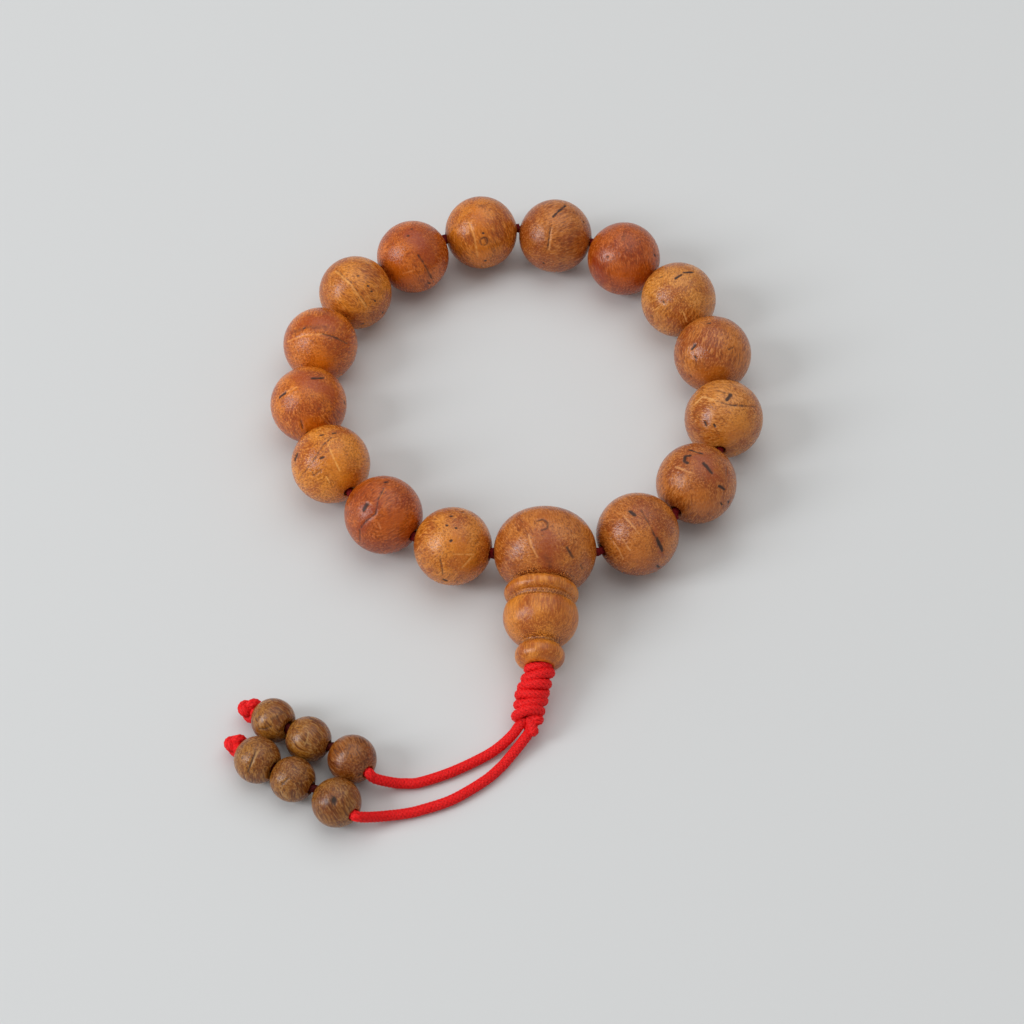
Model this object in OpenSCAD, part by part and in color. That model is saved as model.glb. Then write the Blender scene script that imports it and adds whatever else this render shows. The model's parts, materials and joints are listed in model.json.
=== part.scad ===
// A wrist mala lying on a table: round wooden beads and a three-hole guru bead on one red cord.
// Both ends of the cord leave the guru bead through a turned stupa, are bound together by a wrapped knot,
// and carry three small counter beads each, held on by an end knot.
// Millimetres, +Z up. The origin is the middle of the loop, on the surface that the mala lies on.

/* [Main beads] */
// Diameter of a main bead
bead_d = 12; // [11:0.5:14]
// Diameter of the hole through a main bead
bead_hole_d = 2.4; // [2.2:0.1:3]

/* [Guru bead] */
// Length of the guru bead along the hole that the loop runs through
guru_length = 15.2; // [14.5:0.1:16]
// Diameter of the guru bead across that hole
guru_d = 13.6; // [13.2:0.1:14]
// Diameter of the hole that the loop runs through
guru_hole_d = 2.6; // [2.4:0.1:3]
// Diameter of its third hole, which faces the stupa
guru_outlet_d = 3.7; // [3.5:0.1:4]

/* [Stupa] */
// Diameter of the collar that sits against the guru bead
collar_d = 11; // [10:0.1:11.2]
// Diameter of the round body
bulb_d = 11.1; // [10.6:0.1:11.2]
// Diameter of the ring at the foot, where the cord comes out
foot_d = 7.3; // [7.2:0.1:8]
// Diameter of the hole for both strands of the cord
stupa_hole_d = 3.7; // [3.5:0.1:4]

/* [Cord] */
// Thickness of the braided cord
cord_d = 1.6; // [1.2:0.1:1.6]
// Diameter over the turns of the wrapped knot
wrap_d = 5; // [4.6:0.1:5]

/* [Counter beads] */
// Diameter of a counter bead
counter_d = 6.8; // [6.4:0.1:6.8]
// Diameter of the hole through a counter bead
counter_hole_d = 2.4; // [2.2:0.1:2.6]

/* [Hidden] */
$fn = 48;
UP = [0, 0, 1];

// Turned beads differ a little. Each main bead's diameter over or under bead_d, round the loop from
// the guru bead's +X side.
bead_over = [0.5, 0.3, 0.2, 0.2, 0, -0.2, -0.1, -0.2, -0.3, -0.3, -0.2, -0.1, 0.1, -0.1, -0.2];
// Bare cord between the guru bead and the first bead, between each bead and the next, and back to the guru.
slack = [0.45, 0.65, 0.85, 0.45, 0.05, 0.2, 0.2, 0.25, 0.4, 0.05, 0.05, 0.05, 0.05, 0.45, 0.1, 0.3];
// The loop lies loosely, so the guru bead and each main bead sit a little outside or inside the circle.
stray = [-1, 0.7, 0.55, 0.35, -0.65, -0.75, -0.6, -0.4, 0.3, -0.5, 0.1, 0.05, 0.3, -0.3, -1.05, -1.25];
// Direction of the guru bead from the middle of the loop
guru_angle = -82.3;

bead_count = len(bead_over);
bead_names = [for (i = [1:bead_count]) str("bead_", i < 10 ? "0" : "", i)];
bead_ds = [for (over = bead_over) bead_d + over];

// The circle's radius is the one at which the beads, with their slack, close the loop.
half_sizes = concat([guru_length / 2], bead_ds / 2);
function next_of(i) = (i + 1) % len(half_sizes);
function spacing(i) = half_sizes[i] + half_sizes[next_of(i)] + slack[i];
function step_angle(i, radius) =
    let (near = radius + stray[i], far = radius + stray[next_of(i)])
    acos((near * near + far * far - pow(spacing(i), 2)) / (2 * near * far));
function sum_to(values, last) = last < 0 ? 0 : values[last] + sum_to(values, last - 1);
function all_steps(radius) = [for (i = [0:bead_count]) step_angle(i, radius)];
// Halves the range from low to high until it is closer than any real bead could be measured.
close_enough = 1e-9;
function closing_radius(low, high) =
    let (middle = (low + high) / 2)
    high - low < close_enough ? middle
    : sum_to(all_steps(middle), bead_count) > 360 ? closing_radius(middle, high)
    : closing_radius(low, middle);
loop_r = closing_radius(2 * bead_d, 4 * bead_d);
loop_steps = all_steps(loop_r);
function on_loop(i, height) =
    let (angle = guru_angle + sum_to(loop_steps, i - 1), radius = loop_r + stray[i])
    [radius * cos(angle), radius * sin(angle), height];
guru = on_loop(0, guru_d / 2);
bead_centres = [for (i = [1:bead_count]) on_loop(i, bead_ds[i - 1] / 2)];

// Along a strand of beads, each hole points from the neighbour before to the neighbour after.
function unit(v) = v / norm(v);
function pointing(heading, rise) = [cos(rise) * cos(heading), cos(rise) * sin(heading), sin(rise)];
function hole_axes(before, centres, after) =
    let (all = concat([before], centres, [after]))
    [for (i = [1:len(centres)]) unit(all[i + 1] - all[i - 1])];
function flat_length(d, mouth_d) = sqrt(d * d - mouth_d * mouth_d);
// The flat ring round the mouth of a hole
mouth_lip = 0.3;
guru_lip = 0.2;
counter_lip = 0.5;
bead_lengths = [for (d = bead_ds) flat_length(d, bead_hole_d + 2 * mouth_lip)];
guru_mouths = [guru + [guru_length / 2, 0, 0], guru - [guru_length / 2, 0, 0]];
bead_axes = hole_axes(guru, bead_centres, guru);

// The stupa points away from the loop and dips until its round body rests on the table. It sits a little
// to one side on the guru bead. Distances along it are measured from the middle of the guru bead.
stupa_heading = -91.6;
stupa_from = guru - [0.4, 0, 0];
collar_start = 5.9;
collar_end = 8.2;
seat_r = 7.4;
bulb_start = 9.3;
bulb_at = 10.9;
bulb_half_height = 4.87;
foot_start = 15.3;
foot_end = 18.8;
groove_depth = 0.9;
table_gap = 0.02;
stupa_dip = asin((guru[2] - bulb_d / 2 - table_gap) / bulb_at);
stupa_axis = pointing(stupa_heading, -stupa_dip);
stupa_side = unit(cross(UP, stupa_axis));

// Both strands run side by side through the stupa and into the wrapped knot.
strand_gap = 0.1;
strand_offset = (cord_d + strand_gap) / 2;
function in_stupa(side, along) = stupa_from + stupa_axis * along + stupa_side * side * strand_offset;

// Everything beyond the stupa is laid out from the middle of its foot; heights are above the table.
foot = in_stupa(0, foot_end);
function from_foot(points) = [for (p = points) [foot[0] + p[0], foot[1] + p[1], p[2]]];

wrap_gap = 0.15;
wrap_start = in_stupa(0, foot_end + wrap_gap);
wrap_rest = [[-0.45, -2.05, 4.15], [-1.05, -4.05, 3.55], [-1.65, -6.1, 3], [-2.05, -8.1, 2.6]];
wrap_route = concat([wrap_start], from_foot(wrap_rest));
wrap_turns = 6;
turn_groove = 0.35;
wrap_start_d = 4.2;
tag_route = from_foot([[-0.65, -8.35, 2.75], [-0.1, -9.8, 2.45]]);

// Free part of each tail, from the wrapped knot to its first counter bead
upper_free = from_foot([
    [-3.07, -8.59, 2.35], [-3.87, -9.54, 1.85], [-5.73, -11.14, 1.15], [-8.02, -12.68, 0.87],
    [-12.58, -15.11, 0.87], [-17.11, -16.79, 0.87], [-19.38, -17.01, 0.97], [-20.51, -17.13, 1.3],
    [-22.75, -17.32, 2.6], [-23.85, -17.2, 3.4]
]);
lower_free = from_foot([
    [-1.52, -8.89, 1.95], [-2.29, -10.38, 1.75], [-4.58, -13.18, 1.05], [-5.72, -14.49, 0.9],
    [-8, -16.63, 0.87], [-12.52, -19.58, 0.87], [-17.02, -21.25, 0.87], [-19.27, -21.8, 0.9],
    [-21.51, -22.28, 1.25], [-23.73, -23.1, 2.45], [-25.4, -23.8, 3.9]
]);

// Counter beads from the wrapped knot outwards: where each stands, its diameter over counter_d, and where
// its hole points away from the knot, as a heading and a rise
upper_plan = [[-26.71, -14.53], [-33.09, -11.18], [-38.29, -8.07]];
lower_plan = [[-28.62, -21.4], [-35, -17.59], [-40.16, -14.51]];
upper_over = [0.3, -0.1, -0.3];
lower_over = [0.3, -0.2, 0];
upper_turns = [[135, -10], [157, 0], [147, -12]];
lower_turns = [[138, -10], [152, -2], [148, -5]];
function counter_size(over) = counter_d + over;
function stand(plan, over) = from_foot([for (i = [0:2]) [plan[i][0], plan[i][1], counter_size(over[i]) / 2]]);
upper_centres = stand(upper_plan, upper_over);
lower_centres = stand(lower_plan, lower_over);
upper_axes = [for (turn = upper_turns) pointing(turn[0], turn[1])];
lower_axes = [for (turn = lower_turns) pointing(turn[0], turn[1])];

upper_knot_at = from_foot([[-41.75, -5.82, 2.35]])[0];
lower_knot_at = from_foot([[-43.5, -11.5, 2.2]])[0];
// Each end knot is two lumps; this is how far apart they are.
upper_knot_spread = [1, 1.4, 0];
lower_knot_spread = [0.6, 0.8, 0];
knot_lump_d = 2.5;

// Where the cord enters and leaves each bead on a strand
function through(centres, axes, lengths) =
    [for (i = [0:len(centres) - 1]) for (end = [-1, 1]) centres[i] + axes[i] * end * lengths[i] / 2];
function counter_length(over) = flat_length(counter_size(over), counter_hole_d + 2 * counter_lip);
function counter_lengths(over) = [for (o = over) counter_length(o)];
function tail_route(free, centres, axes, over, knot) =
    concat(free, through(centres, axes, counter_lengths(over)), [knot]);
// Inside the guru bead each strand comes in level, then turns down into the stupa close to the middle.
inner_start = 2.2;
inner_bend = [1.05, 0.35];
inner_end = 2.2;
function side_strand(side) = [
    guru + [side * inner_start, 0, 0],
    stupa_from + stupa_side * side * inner_bend[0] + stupa_axis * inner_bend[1],
    in_stupa(side, inner_end),
    in_stupa(side, foot_end)
];
function backwards(list) = [for (i = [len(list) - 1:-1:0]) list[i]];
loop_route = concat(
    backwards(side_strand(1)), [guru_mouths[0]], through(bead_centres, bead_axes, bead_lengths),
    [guru_mouths[1]], side_strand(-1)
);

// Stands the children's +Z on an axis through a point
module on_axis(point, axis) {
    translate(point) rotate([0, acos(axis[2]), atan2(axis[1], axis[0])]) children();
}

// A round bead with its hole, cut flat at both mouths
module round_bead(d, hole_d, lip) {
    length = flat_length(d, hole_d + 2 * lip);
    difference() {
        sphere(d = d);
        cylinder(d = hole_d, h = 2 * d, center = true);
        for (end = [-1, 1])
            translate([0, 0, end * d]) cylinder(r = d, h = 2 * d - length, center = true);
    }
}

// A turned barrel, a little fuller than an ellipse, cut flat at the mouths of its hole
module barrel_bead(d, length, hole_d) {
    steps = 16;
    fullness = 2.1;
    r = d / 2;
    mouth_r = hole_d / 2 + guru_lip;
    // Half of the length that it would have if it weren't cut flat
    reach = length / 2 / pow(1 - pow(mouth_r / r, fullness), 1 / fullness);
    function side_r(x) = r * pow(1 - pow(abs(x) / reach, fullness), 1 / fullness);
    // Closer together towards the mouths, where the side curves most
    side = [for (k = [-steps:steps]) let (x = length / 2 * sin(90 * k / steps)) [side_r(x), x]];
    mouths = [[hole_d / 2, length / 2], [hole_d / 2, -length / 2]];
    rotate_extrude() polygon(concat(side, mouths));
}

// A round bar along a route, with a diameter for each point of it
module swept_bar(route, diameters, sides) {
    last = len(route) - 1;
    turn = 360 / sides;
    function step_from(i) = i >= 0 && i < last ? unit(route[i + 1] - route[i]) : [0, 0, 0];
    function heading(i) = unit(step_from(i - 1) + step_from(i));
    function ring(i) =
        let (side = unit(cross(heading(i), UP)), top = cross(side, heading(i)), r = diameters[i] / 2)
        [for (s = [0:sides - 1]) route[i] + r * (side * cos(turn * s) + top * sin(turn * s))];
    function wall(a, b) = [[a, b, b + sides], [a, b + sides, a + sides]];
    walls = [
        for (i = [0:last - 1]) for (s = [0:sides - 1])
        for (face = wall(i * sides + s, i * sides + (s + 1) % sides)) face
    ];
    near_end = [for (s = [sides - 1:-1:0]) s];
    far_end = [for (s = [0:sides - 1]) last * sides + s];
    polyhedron([for (i = [0:last]) for (p = ring(i)) p], concat(walls, [near_end, far_end]));
}

module cord(route) {
    cord_sides = 8;
    color("crimson") swept_bar(route, [for (p = route) cord_d], cord_sides);
}

module main_bead(i) {
    color("peru") on_axis(bead_centres[i], bead_axes[i]) round_bead(bead_ds[i], bead_hole_d, mouth_lip);
}

module guru_bead() {
    color("sienna") difference() {
        on_axis(guru, [1, 0, 0]) barrel_bead(guru_d, guru_length, guru_hole_d);
        on_axis(stupa_from, stupa_axis) cylinder(d = guru_outlet_d, h = guru_d);
    }
}

// Half of a ring with a fully rounded rim, solid to the axis
module rounded_ring(start, end, d) {
    rim = (end - start) / 2;
    translate([0, start]) square([d / 2 - rim, 2 * rim]);
    translate([d / 2 - rim, start + rim]) circle(rim);
}

// Half of a plain core that fills in between two turned rings
module core(start, end, r) {
    translate([0, start]) square([r, end - start]);
}

module stupa_outline() {
    overlap = 0.2;
    shoulder_groove_r = collar_d / 2 - groove_depth;
    neck_r = foot_d / 2 - groove_depth;
    rounded_ring(collar_start, collar_end, collar_d);
    core(collar_end - overlap, bulb_start + overlap, shoulder_groove_r);
    // Round body, a little flattened along the axis and cut square at its shoulder
    intersection() {
        translate([0, bulb_at]) scale([1, 2 * bulb_half_height / bulb_d]) circle(d = bulb_d);
        core(bulb_start, foot_start + overlap, bulb_d);
    }
    core(foot_start - 3 * overlap, foot_start + 2 * overlap, neck_r);
    rounded_ring(foot_start, foot_end, foot_d);
}

module stupa() {
    past_ends = 3 * foot_end;
    color("goldenrod") on_axis(stupa_from, stupa_axis) difference() {
        rotate_extrude() intersection() {
            stupa_outline();
            core(0, past_ends, bulb_d);
        }
        cylinder(d = stupa_hole_d, h = past_ends, center = true);
        sphere(seat_r);
    }
}

module loop_cord() {
    cord(loop_route);
}

// Both strands are bound by turns of the same cord, laid side by side; one short end is left sticking out.
module wrap_knot() {
    wrap_sides = 12;
    rings_per_turn = 4;
    rings = wrap_turns * rings_per_turn;
    // The turns reach their full size a third of the way along.
    widening = 3;
    spans = len(wrap_route) - 1;
    function along(t) =
        let (span = min(floor(t * spans), spans - 1), part = t * spans - span)
        wrap_route[span] * (1 - part) + wrap_route[span + 1] * part;
    function over_turns(k) =
        let (groove = turn_groove * (1 + cos(360 * k / rings_per_turn)))
        wrap_start_d + (wrap_d - wrap_start_d) * min(1, widening * k / rings) - groove;
    color("red") {
        swept_bar(
            [for (k = [0:rings]) along(k / rings)], [for (k = [0:rings]) over_turns(k)], wrap_sides
        );
        cord(tag_route);
    }
}

// A stopper knot: two lumps of cord side by side
module end_knot(at, spread) {
    lump_sides = 24;
    color("red") hull() {
        for (side = [-1, 1]) translate(at + side * spread / 2) sphere(d = knot_lump_d, $fn = lump_sides);
    }
}

module counter(centres, axes, over, i) {
    color("saddlebrown") on_axis(centres[i], axes[i])
        round_bead(counter_size(over[i]), counter_hole_d, counter_lip);
}

module upper_tail_cord() {
    cord(tail_route(upper_free, upper_centres, upper_axes, upper_over, upper_knot_at));
}

module lower_tail_cord() {
    cord(tail_route(lower_free, lower_centres, lower_axes, lower_over, lower_knot_at));
}

for (i = [0:bead_count - 1])
    main_bead(i);
guru_bead();
stupa();
loop_cord();
wrap_knot();
upper_tail_cord();
counter(upper_centres, upper_axes, upper_over, 0);  // upper_counter_1
counter(upper_centres, upper_axes, upper_over, 1);  // upper_counter_2
counter(upper_centres, upper_axes, upper_over, 2);  // upper_counter_3
end_knot(upper_knot_at, upper_knot_spread);  // upper_end_knot
lower_tail_cord();
counter(lower_centres, lower_axes, lower_over, 0);  // lower_counter_1
counter(lower_centres, lower_axes, lower_over, 1);  // lower_counter_2
counter(lower_centres, lower_axes, lower_over, 2);  // lower_counter_3
end_knot(lower_knot_at, lower_knot_spread);  // lower_end_knot
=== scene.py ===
"""The looks of a wrist mala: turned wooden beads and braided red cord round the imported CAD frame.

Everything is in metres in the CAD model's own frame. Shapes are worked out in millimetres and scaled once.
"""
import json
import math

import bpy
import numpy as np
from mathutils import Matrix, Vector


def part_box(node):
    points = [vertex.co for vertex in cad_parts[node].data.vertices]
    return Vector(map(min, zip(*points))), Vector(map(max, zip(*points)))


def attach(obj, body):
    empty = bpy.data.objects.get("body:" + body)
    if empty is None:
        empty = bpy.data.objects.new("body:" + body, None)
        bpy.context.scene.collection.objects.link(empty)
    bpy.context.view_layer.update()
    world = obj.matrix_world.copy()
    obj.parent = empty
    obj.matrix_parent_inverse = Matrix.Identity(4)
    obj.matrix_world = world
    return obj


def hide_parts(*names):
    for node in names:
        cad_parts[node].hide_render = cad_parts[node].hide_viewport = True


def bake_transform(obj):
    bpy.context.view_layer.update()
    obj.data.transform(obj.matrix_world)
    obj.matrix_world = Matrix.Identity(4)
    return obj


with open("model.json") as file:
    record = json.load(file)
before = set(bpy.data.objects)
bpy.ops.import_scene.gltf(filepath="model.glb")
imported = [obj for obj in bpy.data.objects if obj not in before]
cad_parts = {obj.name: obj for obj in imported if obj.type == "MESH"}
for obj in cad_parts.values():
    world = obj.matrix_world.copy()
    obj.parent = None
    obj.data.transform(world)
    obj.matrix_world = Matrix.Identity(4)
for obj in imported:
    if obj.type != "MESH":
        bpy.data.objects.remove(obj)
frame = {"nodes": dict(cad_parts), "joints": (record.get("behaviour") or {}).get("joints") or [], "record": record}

MM = 0.001
# The cord, in millimetres, and the space between its two strands in the stupa
CORD_D = 1.6
STRAND_GAP = 0.1
# Its braid: strands seen round it, how far one strand moves along it, how high a strand stands, and how thin
# the cord is where beads hold it
STRANDS = 6
STRAND_ADVANCE = 0.6
STRAND_HEIGHT = 0.17
SQUEEZED = 0.75
# The mouths of the holes in the beads
MOUTH_R = 1.0
MOUTH_LIP = 0.14
# How far apart the points of a bead's mesh are, how much a turned bead sags below a true ball, and its ripple
BEAD_STEP = 0.17
SAG = 0.04
RIPPLE = 0.012
# The stupa, with heights along it from the middle of the guru bead
SEAT_R = 7.4
COLLAR_R, COLLAR_HALF, COLLAR_AT = 5.5, 1.15, 7.05
GROOVE_R, GROOVE_HALF, GROOVE_AT = 4.53, 0.42, 8.72
BULB_R, BULB_HALF, BULB_AT = 5.55, 4.87, 10.9
NECK_R, NECK_FROM, NECK_TO = 2.72, 15.2, 15.45
FOOT_R, FOOT_HALF, FOOT_AT = 3.65, 1.75, 17.05
STUPA_HOLE_R = 1.85
FOOT_END = 18.8
# The stupa's axis passes level with the middle of the guru bead, a little to one side of it
STUPA_ASIDE = 0.4

scene = bpy.context.scene
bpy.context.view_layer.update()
joints = {joint["name"]: joint for joint in frame["joints"]}

# ---------------------------------------------------------------- camera, light and floor

# Where the photograph was taken from: the point it looks at, how far away, how steeply down, and its lens
LOOK_AT = Vector((-0.74, -19.21, 0)) * MM
CAMERA_DISTANCE = 376.4 * MM
CAMERA_PITCH = math.radians(55.82)
LENS_MM = 86.2


def aim(obj, target):
    obj.rotation_euler = (target - obj.location).to_track_quat("-Z", "Y").to_euler()


def add_camera():
    camera = bpy.data.objects.new("camera", bpy.data.cameras.new("camera"))
    scene.collection.objects.link(camera)
    away = Vector((0, -math.cos(CAMERA_PITCH), math.sin(CAMERA_PITCH)))
    camera.location = LOOK_AT + away * CAMERA_DISTANCE
    aim(camera, LOOK_AT)
    camera.data.lens = LENS_MM
    camera.data.sensor_width = 36
    camera.data.clip_start = 0.01
    scene.camera = camera
    return camera


def add_softbox(name, direction, distance, size, watts, colour=(1, 1, 1)):
    lamp = bpy.data.lights.new(name, "AREA")
    lamp.shape = "RECTANGLE"
    lamp.size, lamp.size_y = size
    lamp.energy = watts
    lamp.color = colour
    softbox = bpy.data.objects.new(name, lamp)
    scene.collection.objects.link(softbox)
    softbox.location = Vector(direction).normalized() * distance
    aim(softbox, Vector((0, 0, 0)))


def add_floor():
    half = 3
    mesh = bpy.data.meshes.new("floor")
    corners = [(-half, -half, 0), (half, -half, 0), (half, half, 0), (-half, half, 0)]
    mesh.from_pydata(corners, [], [(0, 1, 2, 3)])
    floor = bpy.data.objects.new("floor", mesh)
    scene.collection.objects.link(floor)
    material = bpy.data.materials.new("floor_paper")
    material.use_nodes = True
    shader = material.node_tree.nodes["Principled BSDF"]
    shader.inputs["Base Color"].default_value = (0.66, 0.665, 0.665, 1)
    shader.inputs["Roughness"].default_value = 0.7
    mesh.materials.append(material)


camera = add_camera()
add_softbox("window_left", (-0.80, -0.24, 0.55), 1.3, (0.45, 0.65), 8.3, (0.97, 1, 1.03))
add_softbox("overhead", (0.1, 0.3, 1), 1.1, (1.3, 1.3), 5.6, (0.99, 0.99, 0.98))
world = bpy.data.worlds.new("studio")
scene.world = world
world.use_nodes = True
world.node_tree.nodes["Background"].inputs["Color"].default_value = (0.985, 0.99, 0.985, 1)
world.node_tree.nodes["Background"].inputs["Strength"].default_value = 0.42
scene.view_settings.view_transform = "Standard"
add_floor()


# ---------------------------------------------------------------- mesh tools

def value_noise(points, seed=0):
    """Smooth random numbers from -1 to 1 at points, one lattice cell to a unit."""
    cell = np.floor(points).astype(np.int64)
    part = points - cell
    part = part * part * (3 - 2 * part)
    total = np.zeros(len(points))
    for corner in range(8):
        step = np.array([corner & 1, corner >> 1 & 1, corner >> 2 & 1])
        key = ((cell + step) * np.array([73856093, 19349663, 83492791])).sum(1) + seed * 2654435761
        key = (key ^ (key >> 13)) * 1274126177
        value = ((key ^ (key >> 16)) & 0xFFFF) / 0xFFFF
        total += value * np.prod(np.where(step, part, 1 - part), axis=1)
    return total * 2 - 1


def unit(v):
    v = np.asarray(v, float)
    return v / np.linalg.norm(v, axis=-1, keepdims=True)


def grid_object(name, grid, closed_rows, closed_columns, **attributes):
    """A mesh object from a grid of points in millimetres, with one named value or vector for each point."""
    rows, columns = grid.shape[:2]
    index = np.arange(rows * columns).reshape(rows, columns)
    down = np.roll(index, -1, 0) if closed_rows else index[1:]
    here = index if closed_rows else index[:-1]
    quads = np.stack([here, np.roll(here, -1, 1), np.roll(down, -1, 1), down], -1)
    if not closed_columns:
        quads = quads[:, :-1]
    faces = quads.reshape(-1, 4).tolist()
    if not closed_rows:
        faces += [index[0][::-1].tolist(), index[-1].tolist()]
    points = grid.reshape(-1, 3)
    a, b, c, d = (points[quads.reshape(-1, 4)[:, k]] for k in range(4))
    if (np.cross(b - a, c - a) * a).sum() + (np.cross(c - a, d - a) * a).sum() < 0:
        faces = [face[::-1] for face in faces]
    mesh = bpy.data.meshes.new(name)
    mesh.from_pydata((points * MM).tolist(), [], faces)
    for key, values in attributes.items():
        flat = np.asarray(values, np.float32).reshape(rows * columns, -1)
        kind, field = ("FLOAT_VECTOR", "vector") if flat.shape[1] == 3 else ("FLOAT", "value")
        mesh.attributes.new(key, kind, "POINT").data.foreach_set(field, flat.ravel())
    mesh.polygons.foreach_set("use_smooth", np.ones(len(mesh.polygons), bool))
    obj = bpy.data.objects.new(name, mesh)
    scene.collection.objects.link(obj)
    return obj


def grid_normals(grid):
    """Outward normals of a closed turned grid, whose rows follow the outline and columns go round."""
    along = np.roll(grid, -1, 0) - np.roll(grid, 1, 0)
    round_it = np.roll(grid, -1, 1) - np.roll(grid, 1, 1)
    return unit(np.cross(round_it, along))


def even_outline(points, spacing):
    """The same closed outline with points a set distance apart."""
    points = np.array(points + points[:1], float)
    steps = np.hypot(*np.diff(points, axis=0).T)
    reach = np.concatenate([[0], np.cumsum(steps)])
    count = int(round(reach[-1] / spacing))
    at = np.linspace(0, reach[-1], count, endpoint=False)
    return np.stack([np.interp(at, reach, points[:, k]) for k in (0, 1)], 1)


def turned_grid(outline, turns):
    """The surface that an outline of (radius, height) points makes when it is turned about Z."""
    angle = np.linspace(0, 2 * np.pi, turns, endpoint=False)
    radius, height = outline[:, :1], outline[:, 1:]
    return np.stack([radius * np.cos(angle), radius * np.sin(angle), height + 0 * angle], -1)


def frame_on(axis):
    """A matrix whose third column is the axis and whose first is level."""
    side = unit(np.cross((0, 0, 1), axis))
    return np.stack([side, np.cross(axis, side), axis], 1)


def arc(centre, radius, start, end, count):
    angles = np.radians(np.linspace(start, end, count))
    return [(centre[0] + radius * math.cos(a), centre[1] + radius * math.sin(a)) for a in angles]


# ---------------------------------------------------------------- materials

class Shader:
    """A small helper that builds one procedural material on a Principled shader."""

    def __init__(self, name):
        self.material = bpy.data.materials.new(name)
        self.material.use_nodes = True
        self.tree = self.material.node_tree
        self.surface = self.tree.nodes["Principled BSDF"]

    def link(self, value, socket):
        if isinstance(value, bpy.types.NodeSocket):
            self.tree.links.new(value, socket)
        elif socket.type == "RGBA":
            socket.default_value = (*value, 1)
        else:
            socket.default_value = value

    def set(self, **values):
        for key, value in values.items():
            self.link(value, self.surface.inputs[key.replace("_", " ")])

    def attribute(self, name, output="Fac"):
        node = self.tree.nodes.new("ShaderNodeAttribute")
        node.attribute_name = name
        return node.outputs[output]

    def math(self, operation, a, b=0.0, clamp=False):
        node = self.tree.nodes.new("ShaderNodeMath")
        node.operation = operation
        node.use_clamp = clamp
        self.link(a, node.inputs[0])
        self.link(b, node.inputs[1])
        return node.outputs[0]

    def vector(self, operation, a, b):
        node = self.tree.nodes.new("ShaderNodeVectorMath")
        node.operation = operation
        self.link(a, node.inputs[0])
        self.link(b, node.inputs[1])
        return node.outputs[0]

    def noise(self, vector, scale=1.0, detail=2.0, roughness=0.5, output="Fac"):
        node = self.tree.nodes.new("ShaderNodeTexNoise")
        node.inputs["Scale"].default_value = scale
        node.inputs["Detail"].default_value = detail
        node.inputs["Roughness"].default_value = roughness
        self.link(vector, node.inputs["Vector"])
        return node.outputs[output]

    def ramp(self, value, low, high, to_low=0.0, to_high=1.0):
        node = self.tree.nodes.new("ShaderNodeMapRange")
        node.interpolation_type = "SMOOTHSTEP"
        self.link(value, node.inputs["Value"])
        node.inputs["From Min"].default_value = low
        node.inputs["From Max"].default_value = high
        node.inputs["To Min"].default_value = to_low
        node.inputs["To Max"].default_value = to_high
        return node.outputs[0]

    def mix(self, share, a, b):
        node = self.tree.nodes.new("ShaderNodeMix")
        node.data_type = "RGBA"
        self.link(share, node.inputs[0])
        self.link(a, node.inputs[6])
        self.link(b, node.inputs[7])
        return node.outputs[2]

    def bump(self, height, distance, strength=1.0):
        node = self.tree.nodes.new("ShaderNodeBump")
        node.inputs["Strength"].default_value = strength
        node.inputs["Distance"].default_value = distance
        self.link(height, node.inputs["Height"])
        self.link(node.outputs[0], self.surface.inputs["Normal"])


def scaled(colour, factors, lift=0.0):
    return tuple(min(1, c * f + lift) for c, f in zip(colour, factors))


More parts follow.
